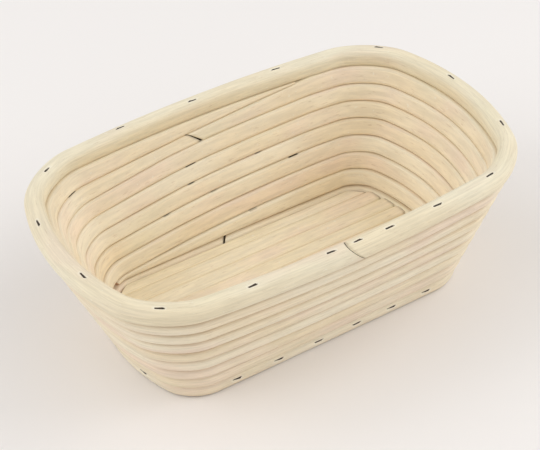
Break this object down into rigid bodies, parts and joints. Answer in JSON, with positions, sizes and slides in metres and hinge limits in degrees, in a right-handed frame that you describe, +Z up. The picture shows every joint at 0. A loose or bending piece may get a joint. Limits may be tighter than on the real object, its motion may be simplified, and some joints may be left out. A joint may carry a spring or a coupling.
{
  "type": "proofing basket",
  "caption": "Rectangular bread proofing basket coiled from round rattan cane, with leaning walls, a floor of straight rods and a thicker rim, held together with wire staples.",
  "frame": {"origin": "on the table, under the middle of the basket's rim", "axes": "+X along the basket's length, +Y towards the back wall that carries the coil's wedges, +Z up"},
  "size_m": [0.25, 0.158, 0.0851],
  "materials": {
    "rim_cane": "peeled rattan, pale cream, matt",
    "wall_cane": "peeled rattan, straw to pinkish tan, matt with fine long grain",
    "floor_cane": "peeled rattan, straw, matt with fine long grain",
    "staple_wire": "dark oxidised steel wire"
  },
  "bodies": {
    "root": {"rim_cane": "rim_cane", "upper_wall_cane": "wall_cane", "lower_wall_cane": "wall_cane", "base_cane": "wall_cane", "floor_rod_1": "floor_cane", "floor_rod_2": "floor_cane", "floor_rod_3": "floor_cane", "floor_rod_4": "floor_cane", "floor_rod_5": "floor_cane", "floor_rod_6": "floor_cane", "floor_rod_7": "floor_cane", "floor_rod_8": "floor_cane", "floor_rod_9": "floor_cane", "rim_staple_01": "staple_wire", "rim_staple_02": "staple_wire", "rim_staple_03": "staple_wire", "rim_staple_04": "staple_wire", "rim_staple_05": "staple_wire", "rim_staple_06": "staple_wire", "rim_staple_07": "staple_wire", "rim_staple_08": "staple_wire", "rim_staple_09": "staple_wire", "rim_staple_10": "staple_wire", "rim_staple_11": "staple_wire", "rim_staple_12": "staple_wire", "rim_staple_13": "staple_wire", "rim_staple_14": "staple_wire", "rim_staple_15": "staple_wire", "rim_staple_16": "staple_wire", "base_staple_01": "staple_wire", "base_staple_02": "staple_wire", "base_staple_03": "staple_wire", "base_staple_04": "staple_wire", "base_staple_05": "staple_wire", "base_staple_06": "staple_wire", "base_staple_07": "staple_wire", "base_staple_08": "staple_wire", "base_staple_09": "staple_wire", "base_staple_10": "staple_wire", "base_staple_11": "staple_wire", "base_staple_12": "staple_wire", "base_staple_13": "staple_wire", "base_staple_14": "staple_wire", "base_staple_15": "staple_wire", "wall_staple_1": "staple_wire", "wall_staple_2": "staple_wire", "wall_staple_3": "staple_wire", "wall_staple_4": "staple_wire", "wall_staple_5": "staple_wire", "wall_staple_6": "staple_wire", "wall_staple_7": "staple_wire", "wall_staple_8": "staple_wire", "floor_staple_1": "staple_wire", "floor_staple_2": "staple_wire", "floor_staple_3": "staple_wire", "floor_staple_4": "staple_wire", "floor_staple_5": "staple_wire", "floor_staple_6": "staple_wire", "floor_staple_7": "staple_wire", "floor_staple_8": "staple_wire"}
  },
  "joints": []
}
